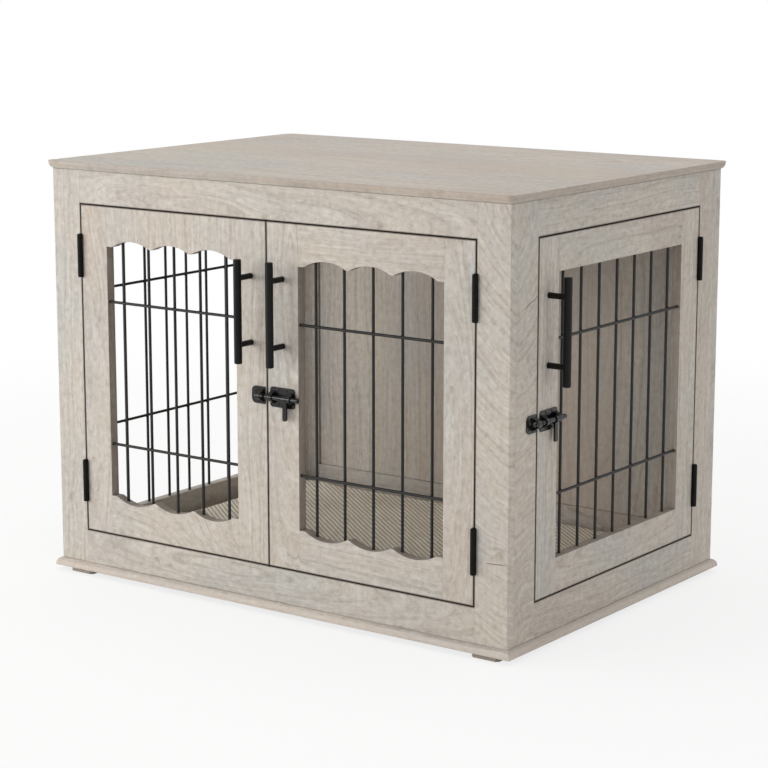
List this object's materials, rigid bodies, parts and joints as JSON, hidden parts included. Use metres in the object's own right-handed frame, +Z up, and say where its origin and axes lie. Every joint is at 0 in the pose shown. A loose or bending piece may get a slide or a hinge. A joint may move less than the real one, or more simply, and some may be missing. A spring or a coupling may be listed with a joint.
{
  "type": "dog crate end table",
  "caption": "Wooden end table that is also a dog crate, with scalloped double front doors, a side door, wire grilles, slide bolts and a mat.",
  "frame": {"origin": "on the floor, under the middle of the whole outline, with the pulls that stand out in front and at the right", "axes": "+Z up, +X towards the side that has the door, -Y towards the double front doors"},
  "size_m": [0.8677, 0.6237, 0.638],
  "materials": {
    "oak_board": "washed grey oak, matt",
    "dowel_wood": "bare beech",
    "grille_wire": "satin black",
    "hinge_metal": "satin black",
    "latch_metal": "semi-gloss black",
    "pull_metal": "satin black",
    "screw_steel": "zinc plated",
    "mat_cloth": "woven twill",
    "foot_plastic": "matt"
  },
  "bodies": {
    "cabinet": {"top_panel": "oak_board", "base_panel": "oak_board", "feet": "foot_plastic", "front_post_left": "oak_board", "front_post_right": "oak_board", "front_bottom_rail": "oak_board", "front_top_rail": "oak_board", "left_side_front_post": "oak_board", "left_side_rear_post": "oak_board", "left_side_bottom_rail": "oak_board", "left_side_top_rail": "oak_board", "right_side_front_post": "oak_board", "right_side_rear_post": "oak_board", "right_side_bottom_rail": "oak_board", "right_side_top_rail": "oak_board", "left_side_grille": "grille_wire", "back_stile_left": "oak_board", "back_stile_right": "oak_board", "back_bottom_rail": "oak_board", "back_top_rail": "oak_board", "back_panel": "oak_board", "door_stops": "oak_board", "mat": "mat_cloth", "base_screws": "screw_steel", "top_dowels": "dowel_wood", "hinge_frame_leaves": "hinge_metal", "hinge_pins": "hinge_metal", "side_latch_keeper": "latch_metal"},
    "left_door": {"left_door_hinge_stile": "oak_board", "left_door_latch_stile": "oak_board", "left_door_bottom_rail": "oak_board", "left_door_top_rail": "oak_board", "left_door_grille": "grille_wire", "left_door_hinge_leaves": "hinge_metal", "left_door_pull_bar": "pull_metal", "left_door_pull_posts": "pull_metal", "front_latch_keeper": "latch_metal"},
    "right_door": {"right_door_hinge_stile": "oak_board", "right_door_latch_stile": "oak_board", "right_door_bottom_rail": "oak_board", "right_door_top_rail": "oak_board", "right_door_grille": "grille_wire", "right_door_hinge_leaves": "hinge_metal", "right_door_pull_bar": "pull_metal", "right_door_pull_posts": "pull_metal", "front_latch_plate": "latch_metal"},
    "side_door": {"side_door_hinge_stile": "oak_board", "side_door_latch_stile": "oak_board", "side_door_bottom_rail": "oak_board", "side_door_top_rail": "oak_board", "side_door_grille": "grille_wire", "side_door_hinge_leaves": "hinge_metal", "side_door_pull_bar": "pull_metal", "side_door_pull_posts": "pull_metal", "side_latch_plate": "latch_metal"},
    "front_bolt": {"front_latch_bolt": "latch_metal"},
    "front_lever": {"front_latch_lever": "latch_metal"},
    "side_bolt": {"side_latch_bolt": "latch_metal"},
    "side_lever": {"side_latch_lever": "latch_metal"}
  },
  "joints": [
    {"name": "left_door_hinge", "type": "hinge", "parent": "cabinet", "child": "left_door", "pos_m": [-0.3709, -0.2791, 0.3236], "axis": [0, 0, -1], "range_deg": [0, 180]},
    {"name": "right_door_hinge", "type": "hinge", "parent": "cabinet", "child": "right_door", "pos_m": [0.3431, -0.2791, 0.3236], "axis": [0, 0, 1], "range_deg": [0, 180]},
    {"name": "side_door_hinge", "type": "hinge", "parent": "cabinet", "child": "side_door", "pos_m": [0.4011, 0.2389, 0.3236], "axis": [0, 0, 1], "range_deg": [0, 180]},
    {"name": "front_bolt_slide", "type": "slide", "parent": "right_door", "child": "front_bolt", "axis": [-1, 0, 0], "range_m": [0, 0.0182]},
    {"name": "side_bolt_slide", "type": "slide", "parent": "side_door", "child": "side_bolt", "axis": [0, -1, 0], "range_m": [0, 0.0182]},
    {"name": "front_lever_turn", "type": "hinge", "parent": "front_bolt", "child": "front_lever", "pos_m": [0.0232, -0.2833, 0.3236], "axis": [-1, 0, 0], "range_deg": [0, 180]},
    {"name": "side_lever_turn", "type": "hinge", "parent": "side_bolt", "child": "side_lever", "pos_m": [0.4053, -0.171, 0.3236], "axis": [0, -1, 0], "range_deg": [0, 180]}
  ]
}
